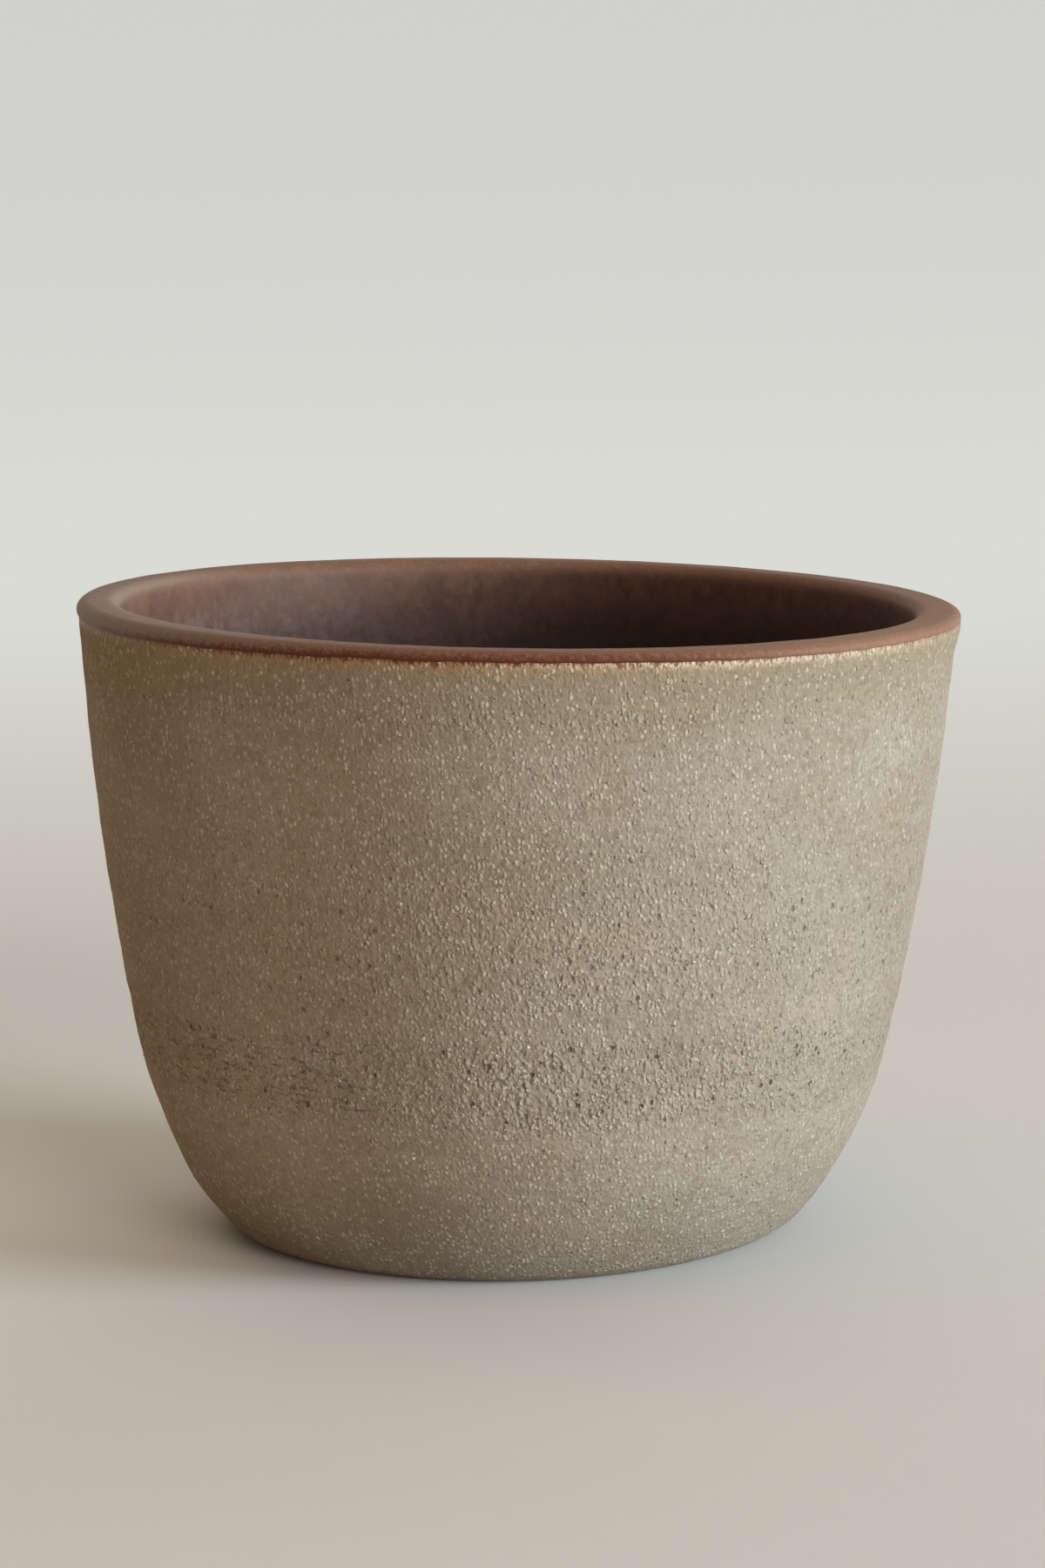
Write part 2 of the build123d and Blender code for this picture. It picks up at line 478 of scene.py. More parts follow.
def unroll(body):
    """Lays the clay flat: the outside in two half turns, the inside in low ones, the foot as a disc."""
    mesh = body.data
    corners = np.empty(len(mesh.loops), dtype=np.int32)
    counts = np.empty(len(mesh.polygons), dtype=np.int32)
    mesh.loops.foreach_get("vertex_index", corners)
    mesh.polygons.foreach_get("loop_total", counts)
    centers = measures(mesh.polygons, "center")
    owners = np.repeat(np.arange(len(counts)), counts)
    places = places_of(body)
    face_radii, face_heights, face_angles = to_cup(centers)
    radii, heights, angles = (values[corners] for values in to_cup(places))
    front = (face_angles < 0)[owners]
    foot = (centers[:, 2] < FOOT_LEVEL)[owners]
    outer = outer_side(face_radii, face_heights)[owners]
    turn = (angles - face_angles[owners] + math.pi) % math.tau - math.pi
    turn[radii < POLE_RADIUS] = 0
    across = (face_angles[owners] + turn) / math.pi + front
    up = np.clip(heights / HEIGHT, 0, 1)
    flat = FOOT_DISC + FOOT_DISC_RADIUS * places[corners, :2] / FOOT_RADIUS
    for side, rows in ((outer, OUTSIDE_ROWS), (~outer, INSIDE_ROWS)):
        for half, (left, low, width, height) in zip((front, ~front), rows):
            here = side & half & ~foot
            flat[here, 0] = left + width * across[here]
            flat[here, 1] = low + height * up[here]
    lay_out(body, flat)


THROWING_RINGS = ((0.020 * MM, 1.9 * MM, 0.0), (0.018 * MM, 0.83 * MM, 1.3))    # depth, pitch and start
UNEVEN_WALL = ((0.10 * MM, 26 * MM, 4), (0.035 * MM, 7 * MM, 5))                # depth, pitch and seed
TORN_DEPTH = 0.07 * MM
TORN_PITCH = 1.7 * MM
PITS = 700
PIT_WIDTHS = (0.5 * MM, 0.8 * MM)
PIT_DEPTHS = (0.06 * MM, 0.18 * MM)


def model_clay_body():
    """The thrown and trimmed body, with throwing rings, a torn band and pits in its surface."""
    body = trace("stoneware_body", clay_profile())
    throw(TURNS)
    trim_foot()
    bpy.ops.object.mode_set(mode="OBJECT")
    places = places_of(body)
    radii, heights, angles = to_cup(places)
    bare = outside_share(radii, heights)
    rough = rough_share(heights, angles)
    directions = measures(body.data.vertices, "normal")

    relief = TORN_DEPTH * rough * waver(angles, heights, TORN_PITCH, seed=6)
    for depth, pitch, start in THROWING_RINGS:
        relief += depth * np.sin(heights / pitch + start)
    for depth, pitch, seed in UNEVEN_WALL:
        relief += depth * waver(angles, heights, pitch, seed)
    places = places + directions * (relief * bare)[:, None] + handling(radii, heights, angles)

    draw = np.random.default_rng(11)
    chance = bare * rough**2 * radii
    chosen = draw.choice(len(places), size=PITS, replace=False, p=chance / chance.sum())
    widths = draw.uniform(*PIT_WIDTHS, PITS)
    depths = draw.uniform(*PIT_DEPTHS, PITS)
    sunk = dent(places, directions, places[chosen].copy(), widths, depths)
    put_places(body, places)

    note(body, "below_glaze", below_glaze(heights, angles))
    note(body, "rough", rough)
    note(body, "low", foot_shade_share(heights))
    note(body, "pit", sunk)
    note_sides(body, ("scorch", "window_glints", "warm_shade", "tear"), angles)
    unroll(body)
    smooth(body)
    return body


# Grog grains, which are modelled in two sizes
GRAINS = 9900                 # in each size
COARSE_GRAIN = 0.27 * MM      # widest grain, from its middle to its side
FINE_GRAIN = 0.18 * MM
COARSE_EVENNESS = 0.10        # how much they also lie where the clay is not rough
FINE_EVENNESS = 0.80
GRAIN_WIDTHS = (0.6, 1.0)     # as shares of the widest
GRAIN_LENGTHS = (1.0, 1.6)    # as shares of the width
GRAIN_RISES = (0.18, 0.34)
GRAIN_SINK = 0.5              # how far the middle lies in the clay, as a share of the rise
GRAIN_DENTS = (0.65, 1.3)
GRAIN_JOLT = 0.25 * MM
GRAIN_SLANT = math.radians(12)
GRAIN_SLANT_SPREAD = math.radians(25)
GRAIN_TONE = 0.15             # from 0, the clay's own colour, to 1, cream
GRAIN_TONE_SPREAD = 0.16
PALE_SHARE = 0.04
PALE_TONES = (0.4, 1.0)
RUST_SHARE = 0.002
RUST_TONE = -1
CELL_FILL = 0.42              # half a grain's width in its cell of the flat layout


def model_grains(name, body, seed, size, evenness):
    """Grog that stands out of the clay: small uneven lumps, mostly sunk, a little taller than wide."""
    bpy.ops.object.select_all(action="DESELECT")
    bpy.ops.mesh.primitive_ico_sphere_add(subdivisions=1, radius=1.0)
    model = bpy.context.object
    lump = places_of(model)
    corners = np.array([face.vertices[:] for face in model.data.polygons])
    bpy.data.objects.remove(model)

    # The clay's faces come in another order at each run, so they are sorted by their corners first.
    faces = sorted(body.data.polygons, key=lambda face: sorted(face.vertices)[:3])
    order = [face.index for face in faces]
    centers = measures(body.data.polygons, "center")[order]
    directions = measures(body.data.polygons, "normal")[order]
    areas = measures(body.data.polygons, "area", 1).ravel()[order]
    radii, heights, angles = to_cup(centers)
    share = areas * outside_share(radii, heights) * (evenness + rough_share(heights, angles))

    draw = np.random.default_rng(seed)
    chosen = draw.choice(len(share), size=GRAINS, p=share / share.sum())
    heights, angles = heights[chosen], angles[chosen]
    away = directions[chosen]
    side = np.cross(np.array(AXIS), away)
    side /= np.linalg.norm(side, axis=1)[:, None]
    up = np.cross(away, side)
    slant = draw.normal(GRAIN_SLANT, GRAIN_SLANT_SPREAD, GRAINS)[:, None]
    wide = side * np.cos(slant) + up * np.sin(slant)
    tall = up * np.cos(slant) - side * np.sin(slant)
    width = size * draw.uniform(*GRAIN_WIDTHS, GRAINS)
    length = width * draw.uniform(*GRAIN_LENGTHS, GRAINS)
    rise = width * draw.uniform(*GRAIN_RISES, GRAINS)
    jolt = draw.uniform(-GRAIN_JOLT, GRAIN_JOLT, (GRAINS, 2))
    seats = centers[chosen] + side * jolt[:, :1] + up * jolt[:, 1:] - away * (GRAIN_SINK * rise)[:, None]
    uneven = draw.uniform(*GRAIN_DENTS, (GRAINS, len(lump), 1)) * lump
    places = seats[:, None] + (
        uneven[:, :, :1] * (wide * width[:, None])[:, None]
        + uneven[:, :, 1:2] * (tall * length[:, None])[:, None]
        + uneven[:, :, 2:] * (away * rise[:, None])[:, None]
    )
    faces = corners + (np.arange(GRAINS) * len(lump))[:, None, None]
    made = bpy.data.meshes.new(name)
    made.from_pydata(places.reshape(-1, 3).tolist(), [], faces.reshape(-1, 3).tolist())
    grains = bpy.data.objects.new(name, made)
    bpy.context.scene.collection.objects.link(grains)

    tones = np.clip(draw.normal(GRAIN_TONE, GRAIN_TONE_SPREAD, GRAINS), 0, 1)
    pale = draw.random(GRAINS) < PALE_SHARE
    tones[pale] = draw.uniform(*PALE_TONES, pale.sum())
    tones[draw.random(GRAINS) < RUST_SHARE] = RUST_TONE
    note(grains, "tone", np.repeat(tones, len(lump)))
    note(grains, "below_glaze", np.repeat(below_glaze(heights, angles), len(lump)))
    note(grains, "low", np.repeat(foot_shade_share(heights), len(lump)))
    note_sides(grains, ("scorch", "window_glints", "warm_shade"), angles, len(lump))
    row = math.ceil(math.sqrt(GRAINS))
    cells = np.stack([np.arange(GRAINS) % row, np.arange(GRAINS) // row], axis=1)
    flat = (cells[:, None] + 0.5 + CELL_FILL * lump[None, :, :2]) / row
    lay_out(grains, flat.reshape(-1, 2)[faces.ravel()])
    smooth(grains)
    return grains


# Lip glaze
LIP_TUCK = 1.0 * MM                    # how far it reaches down behind the liner's skin
LIP_TUCK_GAP = 0.02 * MM               # and how far behind that skin it stays
LIP_ROOT = 0.3 * MM                    # how deep its back lies in the clay inside
LIP_INNER_STEPS = 10
LIP_INNER_CORNER_STEPS = 7
LIP_TOP_STEPS = 4
LIP_OUTER_CORNER_STEPS = 13
EDGE_SKIN = 0.1                        # what is left of the coat at its edge, as a share
EDGE_FULL = 2.5                        # the coat is full where this times the way left to the edge is 1
EDGE_ROUND = 0.7                       # how steeply the coat rounds off to its edge
EDGE_ROOT = 0.1 * MM                   # how deep the coat's edge is rooted in the clay
EDGE_ROOT_AT = math.radians(-3)
CREST_ROOT = 0.4 * MM                  # how deep the coat's back lies in the clay at the crest
CREST_ROOT_AT = math.radians(75)
FAR_FROM_EDGE = 9                      # millimetres, for all of the coat that is not outside
LOWEST_RISE = -0.9                     # how far round the lip's corner the edge may slide, as a sine
LIP_SWELL = (0.03 * MM, 5 * MM)        # depth and pitch of its slow swells, then of its ripples
LIP_RIPPLE = (0.012 * MM, 1.2 * MM)
INWARD_START = (0.3 * MM, 1.8 * MM)    # where it takes the inner glaze's colour, below the lip's top


def lip_glaze_profile():
    """The closed half section of the coat: up the inner wall, over the lip, round outside and back."""
    lift = Vector((0, LIP_COAT))
    tuck = liner_top - LIP_TUCK / inner_wall_radius
    joint = polar(wall_center, inner_wall_radius - LINER_COAT, liner_top)
    skin_top = toward(wall_center, inner_edge, inner_wall_radius - LIP_COAT)
    points = [polar(wall_center, inner_wall_radius + LIP_ROOT, tuck)]
    points += [polar(wall_center, inner_wall_radius - LINER_COAT + LIP_TUCK_GAP, tuck), joint]
    points += straight(joint, skin_top, LIP_INNER_STEPS)
    points += arc(inner_edge, skin_top, inner_crest + lift, LIP_INNER_CORNER_STEPS)
    points += straight(inner_crest + lift, crest + lift, LIP_TOP_STEPS)
    for k in range(1, LIP_OUTER_CORNER_STEPS + 1):
        left_over = 1 - k / LIP_OUTER_CORNER_STEPS
        skin = EDGE_SKIN + (1 - EDGE_SKIN) * min(1, EDGE_FULL * left_over)**EDGE_ROUND
        points.append(polar(shoulder, LIP_OUTER_RADIUS + LIP_COAT * skin, math.pi / 2 * left_over))
    points.append(polar(shoulder, LIP_OUTER_RADIUS - EDGE_ROOT, EDGE_ROOT_AT))
    points.append(polar(shoulder, LIP_OUTER_RADIUS - CREST_ROOT, CREST_ROOT_AT))
    return points + points[:1]


def model_lip_glaze():
    """The thin coat over the lip: rounded off at its ragged outer edge, flush with the liner inside."""
    coat = trace("lip_glaze_coat", lip_glaze_profile())
    throw(GLAZE_TURNS)
    bpy.ops.object.mode_set(mode="OBJECT")
    radii, heights, angles = to_cup(places_of(coat))
    # The outer part of the coat slides along the lip's corner, so that its edge follows the glaze line.
    outside = radii > crest.x
    line = glaze_line(angles)
    reach = np.hypot(radii - shoulder.x, heights - shoulder.y)
    drop = 1 - np.clip((heights - shoulder.y) / reach, -1, 1)
    rise = np.clip(1 - drop * line / (LIP_OUTER_RADIUS + LIP_COAT), LOWEST_RISE, 1)
    radii = np.where(outside, shoulder.x + reach * np.sqrt(1 - rise**2), radii)
    heights = np.where(outside, shoulder.y + reach * rise, heights)
    swell = LIP_SWELL[0] * waver(angles, heights, LIP_SWELL[1], seed=9)
    swell += LIP_RIPPLE[0] * waver(angles, heights, LIP_RIPPLE[1], seed=8)
    swell *= np.where(outside, np.clip(1 - drop, 0, 1), 1) * (heights > crest.y - LIP_COAT_DEPTH)
    places = outward(angles) * radii[:, None] + np.array(AXIS) * (heights + swell)[:, None]
    put_places(coat, places + handling(radii, heights, angles))
    note(coat, "from_edge", np.where(outside, (1 - drop) * line / MM, FAR_FROM_EDGE))
    note(coat, "from_crest", crest_gap(radii, heights))
    note(coat, "inward", (radii < inner_crest.x) * step(*INWARD_START, HEIGHT - heights))
    note(coat, "depth", inside_depth(heights, angles))
    note_sides(coat, ("scorch", "backdrop_sheen", "bright", "window_sheen"), angles)
    smooth(coat, SHARP_EDGE)
    return coat


# Liner glaze
LINER_ROOT = 0.2 * MM    # how deep its back lies in the clay
LINER_FLOOR_STEPS = 10
LINER_WELL_STEPS = 12
LINER_BELLY_STEPS = 8
LINER_WALL_STEPS = 40
LINER_BACK_WALL_STEPS = 8
LINER_BACK_BELLY_STEPS = 4
LINER_BACK_WELL_STEPS = 5
SWIRL_DEPTH = 0.12 * MM
SWIRL_PITCH = 1.5 * MM
SWIRL_START = (0, 3 * MM)
SWIRL_END = (16 * MM, 22 * MM)
SWIRL_HEIGHTS = (FLOOR + 0.9 * LINER_COAT, FLOOR + 2 * LINER_COAT)


def liner_glaze_profile():
    """The half section of the coat: out along the floor, up the inside, and back down in the clay."""
    belly_end, well_end, floor_edge, floor_center = inside_points(LINER_COAT)
    back_belly, back_well, back_floor, back_center = inside_points(-LINER_ROOT)
    top = polar(wall_center, inner_wall_radius - LINER_COAT, liner_top)
    back_top = polar(wall_center, inner_wall_radius + LINER_ROOT, liner_top)
    points = [floor_center]
    points += straight(floor_center, floor_edge, LINER_FLOOR_STEPS)
    points += arc(well_center, floor_edge, well_end, LINER_WELL_STEPS)
    points += arc(belly_center, well_end, belly_end, LINER_BELLY_STEPS)
    points += arc(wall_center, belly_end, top, LINER_WALL_STEPS)
    points += [back_top]
    points += arc(wall_center, back_top, back_belly, LINER_BACK_WALL_STEPS)
    points += arc(belly_center, back_belly, back_well, LINER_BACK_BELLY_STEPS)
    points += arc(well_center, back_well, back_floor, LINER_BACK_WELL_STEPS)
    points += [back_center]
    return points


def model_liner_glaze():
    """The poured coat on the floor, the belly and the inner wall, with a faint swirl on the floor."""
    coat = trace("liner_glaze_coat", liner_glaze_profile())
    throw(LINER_TURNS)
    bpy.ops.object.mode_set(mode="OBJECT")
    places = places_of(coat)
    radii, heights, angles = to_cup(places)
    swirl = SWIRL_DEPTH * np.sin(radii / SWIRL_PITCH - angles)
    swirl *= step(*SWIRL_START, radii) * (1 - step(*SWIRL_END, radii))
    lowest, highest = SWIRL_HEIGHTS
    places[:, 2] += np.where((heights > lowest) & (heights < highest), swirl, 0)
    put_places(coat, places)
    note(coat, "depth", inside_depth(heights, angles))
    note_sides(coat, ("window_sheen",), angles)
    smooth(coat, SHARP_EDGE)
    return coat


# Finishes
class Finish:
    """One material, with short ways to add and join its nodes."""

    def __init__(self, name):
        self.material = bpy.data.materials.new(name)
        self.material.use_nodes = True
        self.tree = self.material.node_tree
        self.shader = self.tree.nodes["Principled BSDF"]
        self.place = self.add("ShaderNodeTexCoord").outputs["Object"]

    def add(self, kind, inputs=(), **settings):
        """A new node with its settings, and with values or links on its inputs."""
        made = self.tree.nodes.new(kind)
        for key, value in settings.items():
            setattr(made, key, value)
        for key, value in dict(inputs).items():
            self.feed(made.inputs[key], value)
        return made

    def feed(self, socket, value):
        """Links a socket to another one, or sets its value."""
        if isinstance(value, bpy.types.NodeSocket):
            self.tree.links.new(value, socket)
        else:
            socket.default_value = value

    def math(self, operation, *values):
        """One operation on two values."""
        return self.add("ShaderNodeMath", dict(enumerate(values)), operation=operation).outputs[0]

    def product(self, first, *others):
        """Values multiplied together."""
        for other in others:
            first = self.math("MULTIPLY", first, other)
        return first

    def total(self, first, *others):
        """Values added together."""
        for other in others:
            first = self.math("ADD", first, other)
        return first

    def ramp(self, value, low, high, to_low=0.0, to_high=1.0):
        """A smooth step from one result at low to another at high."""
        made = self.add(
            "ShaderNodeMapRange",
            {"Value": value, "From Min": low, "From Max": high, "To Min": to_low, "To Max": to_high},
            interpolation_type="SMOOTHSTEP",
        )
        return made.outputs["Result"]

    def mix(self, share, first, second, blend="MIX"):
        """The first colour with a share of the second."""
        made = self.add("ShaderNodeMix", data_type="RGBA", blend_type=blend, clamp_factor=True)
        self.feed(made.inputs["Factor"], share)
        self.feed(made.inputs[6], first)
        self.feed(made.inputs[7], second)
        return made.outputs[2]

    def scaled(self, level, up):
        """The place scaled level and up, where less than 1 draws a pattern out."""
        settings = {"Vector": self.place, "Scale": (level, level, up)}
        return self.add("ShaderNodeMapping", settings).outputs["Vector"]

    def turned(self, tilt, level, up):
        """The place in a frame tilted about Y, where more than 1 draws a pattern out."""
        settings = {"Vector": self.place, "Rotation": (0.0, tilt, 0.0), "Scale": (level, level, up)}
        return self.add("ShaderNodeMapping", settings, vector_type="TEXTURE").outputs["Vector"]

    def noise(self, vector, scale, detail=2.0, roughness=0.5):
        """Soft noise, from 0 to 1."""
        made = self.add(
            "ShaderNodeTexNoise",
            {"Vector": vector, "Scale": scale, "Detail": detail, "Roughness": roughness},
        )
        return made.outputs["Fac"]

    def shaken(self, vector, scale, reach):
        """A place moved about by noise, to break up straight edges."""
        made = self.add("ShaderNodeTexNoise", {"Vector": self.place, "Scale": scale, "Detail": 2.0})
        settings = {0: made.outputs["Color"], "Scale": reach}
        move = self.add("ShaderNodeVectorMath", settings, operation="SCALE").outputs[0]
        return self.add("ShaderNodeVectorMath", {0: vector, 1: move}, operation="ADD").outputs[0]

    def cells(self, vector, scale):
        """A pattern of cells: the distance from each one's middle, and a number of its own."""
        made = self.add("ShaderNodeTexVoronoi", {"Vector": vector, "Scale": scale})
        tone = self.add("ShaderNodeSeparateColor", {"Color": made.outputs["Color"]}).outputs[0]
        return made.outputs["Distance"], tone

    def note(self, name):
        """What the mesh stores under a name."""
        return self.add("ShaderNodeAttribute", attribute_name=name).outputs["Fac"]

    def relief(self, depth, height):
        """The normals of a surface with a fine relief."""
        made = self.add("ShaderNodeBump", {"Strength": 1.0, "Distance": depth, "Height": height})
        return made.outputs["Normal"]

    def set(self, **values):
        """Sets or links the shader's own inputs."""
        for key, value in values.items():
            self.feed(self.shader.inputs[key.replace("_", " ")], value)


def srgb(red, green, blue):
    """An eight-bit display colour as the shader's linear one."""
    def linear(v):
        v /= 255
        return v / 12.92 if v <= 0.04045 else ((v + 0.055) / 1.055)**2.4
    return (linear(red), linear(green), linear(blue), 1.0)


# Colours of the clay
CLAY = srgb(158, 149, 134)
CLAY_DARK = srgb(148, 138, 121)
CLAY_PALE = srgb(170, 162, 148)
CLAY_BLUSH = srgb(164, 145, 125)
CLAY_OLIVE = srgb(145, 134, 110)
# painted shade in the low spots of the relief, and dark specks
CLAY_SHADE_AND_SPECK = srgb(112, 98, 79)
# painted shade in the holes, tears and pits
PIT_SHADE = srgb(62, 47, 34)
WARM_SHADE_TINT = (0.95, 0.80, 0.58, 1.0)        # painted warm shade: what the clay's colour is multiplied by on its shadowed side
LOW_SHADE = (0.80, 0.82, 0.82, 1.0)    # and at its foot, as painted shade
GROG = srgb(206, 197, 178)
RUST = srgb(106, 78, 56)
SCORCH = srgb(162, 124, 78)
# painted glints of the window below the lip's glaze
WINDOW_GLINT_TONE = srgb(220, 205, 178)

# Colours of the glazes
LIP = srgb(141, 109, 88)
LIP_BROWN = srgb(112, 83, 68)
LIP_DARK = srgb(120, 82, 62)
LIP_PALE = srgb(160, 122, 99)
LIP_BURNT = srgb(112, 74, 55)
# painted sheen of the pale backdrop on the lip
LIP_BACKDROP_SHEEN = srgb(134, 118, 103)
# paler where the glaze breaks thin, partly a painted highlight
LIP_BREAK_HIGHLIGHT = srgb(150, 132, 114)
LIP_EDGE = srgb(88, 42, 22)
INNER = srgb(114, 84, 69)
INNER_DARK = srgb(97, 68, 56)
# the glaze darkening further in: its own dark colour, partly painted shade deep in the cup
LINER_DARK_AND_SHADE = srgb(34, 19, 13)
LINER_WARM = srgb(75, 50, 39)
# painted sheen of the window on the inner glaze
WINDOW_SHEEN_TONE = srgb(118, 101, 95)

# Colours of the paper sweep and the room
PAPER = srgb(236, 239, 240)
PAPER_BEHIND = srgb(218, 219, 213)
ROOM_PALE = srgb(208, 209, 204)
ROOM_DIM = (1.0, 0.85, 0.70, 1.0)
ROOM_DIM_STRENGTH = 0.005

# Scales of the patterns, in noise waves or cells to the metre
CLAY_CLOUDS = 55.0
CLAY_RINGS = 420.0
CLAY_BLUSHES = 90.0
SCORCH_LICKS = 3400.0
CLAY_BUMPS = 3000.0
CLAY_LUMPS = 1300.0
CLAY_LINES = 1500.0
SHAKES = 2400.0
SAND = 2300.0
PEBBLES = 1350.0
HOLES = 1000.0
TEARS = 2300.0
DUST = 2600.0
GLAZE_CLOUDS = 200.0
GLAZE_MOTTLE = 900.0
GLAZE_DRIPS = 620.0
DRY_GLAZE = 2600.0

# Fine relief, slants and sheen of the finishes
CLAY_RELIEF = 0.21 * MM
GRAIN_RELIEF = 0.25 * MM
GLAZE_RELIEF = 0.10 * MM
SHAKE_REACH = 0.35 * MM
BUMP_SLANT = math.radians(-6)
TEAR_SLANT = math.radians(8)
DULL = 0.95    # roughness of bare clay, grog and paper
CLAY_SHEEN = 0.16
GRAIN_SHEEN = 0.14
GLAZE_SHEEN = 0.22
PAPER_SHEEN = 0.1


def clay_tone(f):
    """The clay's colour: taupe in clouds and faint rings, scorched below the glaze, with painted glints of
    the window below it on one side, painted warm shade on its shadowed side and painted shade at the foot.
    """
    below = f.note("below_glaze")
    cloud = f.noise(f.place, CLAY_CLOUDS, 3.0, 0.55)
    rings = f.noise(f.scaled(0.12, 1.0), CLAY_RINGS, 3.0, 0.6)
    blush = f.noise(f.place, CLAY_BLUSHES, 2.0, 0.5)
    tone = f.mix(f.ramp(cloud, 0.32, 0.68), CLAY_DARK, CLAY)
    tone = f.mix(f.ramp(rings, 0.38, 0.7, 0.0, 0.25), tone, CLAY_PALE)
    tone = f.mix(f.ramp(blush, 0.55, 0.75, 0.0, 0.35), tone, CLAY_BLUSH)
    tone = f.mix(f.ramp(below, 10.0, 2.0, 0.0, 0.75), tone, CLAY_OLIVE)
    # painted warm shade on the clay's shadowed side, then painted shade at the foot
    tone = f.mix(f.note("warm_shade"), tone, WARM_SHADE_TINT, "MULTIPLY")
    tone = f.mix(f.note("low"), tone, LOW_SHADE, "MULTIPLY")
    lick = f.noise(f.scaled(1.0, 0.4), SCORCH_LICKS, 3.0, 0.6)
    ragged = f.total(below, f.ramp(lick, 0.25, 0.75, -0.55, 0.55))
    burnt = f.product(f.ramp(ragged, 1.6, 0.1), f.ramp(f.note("scorch"), 0.0, 1.0, 0.15, 0.9))
    tone = f.mix(burnt, tone, SCORCH)
    # painted glints of the window: pale specks just below the glaze on one side
    window_glints = f.product(f.ramp(ragged, 1.1, 0.3), f.ramp(lick, 0.40, 0.56), f.ramp(f.note("window_glints"), 0.0, 0.9))
    tone = f.mix(window_glints, tone, WINDOW_GLINT_TONE)
    soaked = f.total(below, f.ramp(lick, 0.28, 0.72, -0.35, 0.35))
    return f.mix(f.ramp(soaked, 0.6, -0.1), tone, f.mix(f.note("scorch"), LIP, LIP_EDGE))


def stoneware_finish():
    """Bare groggy clay: close upright bumps, pebbles and torn pits where it is rough, with shade painted in
    its hollows and pits.
    """
    f = Finish("bare_stoneware")
    rough = f.note("rough")
    upright = f.turned(BUMP_SLANT, 1.0, 1.25)
    bumps = f.noise(upright, CLAY_BUMPS, 2.0, 0.6)
    lumps = f.noise(upright, CLAY_LUMPS, 1.0, 0.5)
    lines = f.noise(f.scaled(0.05, 1.0), CLAY_LINES, 2.0, 0.6)
    shaken = f.shaken(upright, SHAKES, SHAKE_REACH)
    sand_gap, sand_tone = f.cells(shaken, SAND)
    sand = f.product(f.ramp(sand_gap, 0.65, 0.1), f.ramp(sand_tone, 0.0, 1.0, 0.1, 1.0))
    pale = f.product(f.ramp(sand_gap, 0.6, 0.25), f.ramp(sand_tone, 0.6, 0.9, 0.0, 0.52))
    pebble_gap, pebble_tone = f.cells(shaken, PEBBLES)
    pebble = f.product(f.ramp(pebble_gap, 0.55, 0.05), f.ramp(pebble_tone, 0.35, 0.75))
    hole_gap, hole_tone = f.cells(shaken, HOLES)
    hole = f.product(f.ramp(hole_gap, 0.29, 0.12), f.ramp(hole_tone, 0.73, 0.81))
    hole = f.product(hole, f.ramp(rough, 0.1, 0.9, 0.08, 1.0))
    torn = f.noise(f.turned(TEAR_SLANT, 4.5, 1.0), TEARS, 3.0, 0.6)
    torn = f.product(f.ramp(torn, 0.54, 0.66), f.ramp(rough, 0.4, 1.0), f.ramp(f.note("tear"), 0.1, 0.6))
    sunk = f.math("MAXIMUM", hole, f.product(torn, 0.55))

    tone = clay_tone(f)
    # painted shade where the bumps and the sand cells lie low
    tone = f.mix(f.ramp(bumps, 0.46, 0.28, 0.0, 0.35), tone, CLAY_SHADE_AND_SPECK)
    tone = f.mix(f.ramp(sand_tone, 0.35, 0.05, 0.0, 0.34), tone, CLAY_SHADE_AND_SPECK)
    tone = f.mix(pale, tone, GROG)
    tone = f.mix(f.product(pebble, f.ramp(rough, 0.1, 1.0, 0.05, 0.32)), tone, GROG)
    # painted shade in the holes, the tears and the pressed pits
    tone = f.mix(f.product(sunk, 0.72), tone, PIT_SHADE)
    tone = f.mix(f.ramp(f.note("pit"), 0.4, 1.0, 0.0, 0.12), tone, PIT_SHADE)

    height = f.total(
        f.product(sand, f.ramp(rough, 0.1, 0.8, 0.45, 0.85)),
        f.product(lines, 0.7),
        f.product(bumps, 0.45),
        f.product(lumps, f.ramp(rough, 0.1, 1.0, 0.35, 1.3)),
        f.product(pebble, f.ramp(rough, 0.1, 1.0, 0.05, 1.3)),
        f.product(sunk, -1.2),
    )
    melted = f.ramp(f.note("below_glaze"), 1.0, 0.2, DULL, 0.45)
    normal = f.relief(CLAY_RELIEF, height)
    f.set(Base_Color=tone, Roughness=melted, Specular_IOR_Level=CLAY_SHEEN, Normal=normal)
    return f.material


def grain_finish():
    """Grog grains: each its own tone, from the clay's colour to cream, with a few of rust."""
    f = Finish("grog_grains")
    own = f.note("tone")
    dust = f.noise(f.place, DUST, 2.0, 0.5)
    tone = f.mix(f.ramp(dust, 0.45, 0.75, 0.0, 0.2), clay_tone(f), CLAY_SHADE_AND_SPECK)
    tone = f.mix(f.ramp(own, 0.0, 1.0, 0.0, 0.8), tone, GROG)
    tone = f.mix(f.ramp(own, -0.5, -0.9), tone, RUST)
    normal = f.relief(GRAIN_RELIEF, dust)
    f.set(Base_Color=tone, Roughness=DULL, Specular_IOR_Level=GRAIN_SHEEN, Normal=normal)
    return f.material


